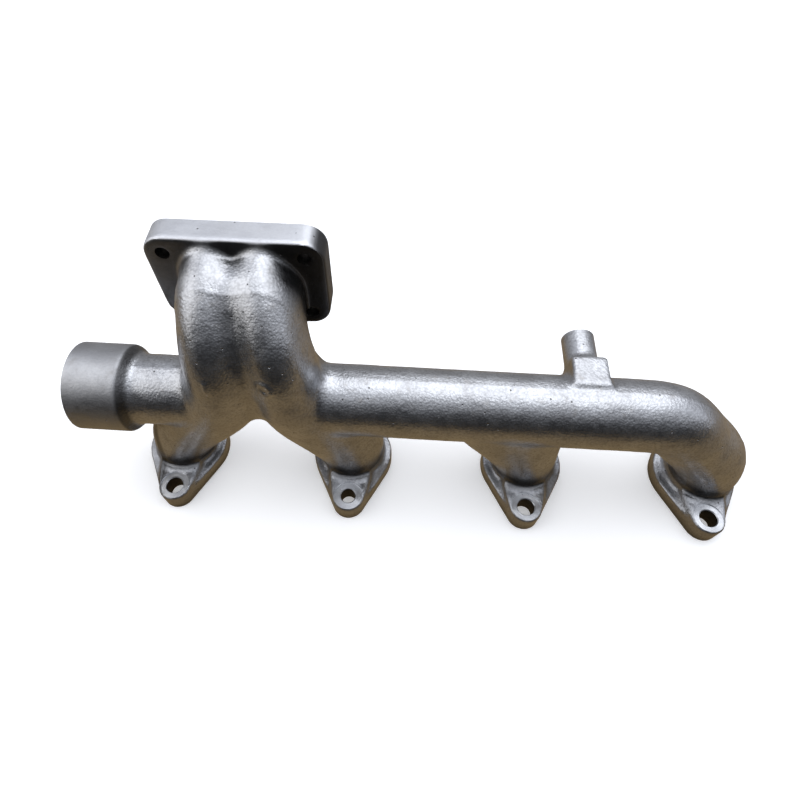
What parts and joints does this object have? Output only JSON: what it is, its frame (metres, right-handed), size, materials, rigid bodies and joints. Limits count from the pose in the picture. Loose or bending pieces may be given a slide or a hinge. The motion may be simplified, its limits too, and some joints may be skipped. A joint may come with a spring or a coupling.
{
  "type": "exhaust manifold",
  "caption": "Cast-iron exhaust manifold section with port flanges, a log, a divided riser to a turbocharger flange, and a slip-joint collar with split sealing rings.",
  "frame": {"origin": "centre of port 2, the locating port, on the cylinder-head face", "axes": "+X along the log away from the slip joint, +Y towards the turbocharger flange, +Z away from the cylinder head"},
  "size_m": [0.4685, 0.103, 0.186],
  "materials": {
    "casting": "shot-blasted sand casting with machined faces",
    "ring_steel": "ground"
  },
  "bodies": {
    "casting": {"manifold_casting": "casting"},
    "ring_1": {"seal_ring_1": "ring_steel"},
    "ring_2": {"seal_ring_2": "ring_steel"},
    "ring_3": {"seal_ring_3": "ring_steel"},
    "ring_4": {"seal_ring_4": "ring_steel"},
    "ring_5": {"seal_ring_5": "ring_steel"},
    "ring_6": {"seal_ring_6": "ring_steel"}
  },
  "joints": [
    {"name": "ring_1_turn", "type": "hinge", "parent": "casting", "child": "ring_1", "pos_m": [-0.17154, 0, 0.0855], "axis": [1, 0, 0], "continuous": true},
    {"name": "ring_2_turn", "type": "hinge", "parent": "casting", "child": "ring_2", "pos_m": [-0.16947, 0, 0.0855], "axis": [1, 0, 0], "continuous": true},
    {"name": "ring_3_turn", "type": "hinge", "parent": "casting", "child": "ring_3", "pos_m": [-0.16741, 0, 0.0855], "axis": [1, 0, 0], "continuous": true},
    {"name": "ring_4_turn", "type": "hinge", "parent": "casting", "child": "ring_4", "pos_m": [-0.16064, 0, 0.0855], "axis": [1, 0, 0], "continuous": true},
    {"name": "ring_5_turn", "type": "hinge", "parent": "casting", "child": "ring_5", "pos_m": [-0.15857, 0, 0.0855], "axis": [1, 0, 0], "continuous": true},
    {"name": "ring_6_turn", "type": "hinge", "parent": "casting", "child": "ring_6", "pos_m": [-0.15651, 0, 0.0855], "axis": [1, 0, 0], "continuous": true}
  ]
}
